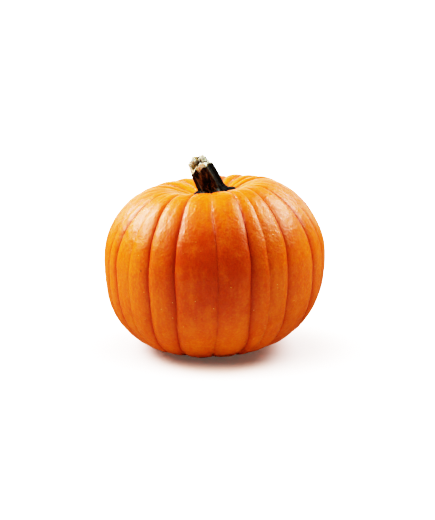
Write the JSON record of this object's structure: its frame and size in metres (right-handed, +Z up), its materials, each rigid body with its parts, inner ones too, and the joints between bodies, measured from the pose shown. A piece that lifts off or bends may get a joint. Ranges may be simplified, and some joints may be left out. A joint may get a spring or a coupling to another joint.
{
  "type": "pumpkin",
  "caption": "Whole ripe pumpkin: a broad ribbed orange fruit with a short leaning fluted stem, torn open and pale at its end.",
  "frame": {"origin": "centre of the whole object's bounding box in plan, on the surface that the pumpkin stands on", "axes": "+Z up, the way the stem grows; -Y towards the front, the side that the stem leans over; +X to the right seen from the front"},
  "size_m": [0.2504, 0.2504, 0.221],
  "materials": {
    "rind": "smooth waxy rind, deep orange with paler mottling, satin",
    "stem_bark": "dry dark brown-green bark with lengthwise ridges, satin",
    "torn_wood": "pale fibrous torn wood, matte"
  },
  "bodies": {
    "root": {"fruit": "rind", "stem": "stem_bark", "stem_torn_end": "torn_wood"}
  },
  "joints": []
}
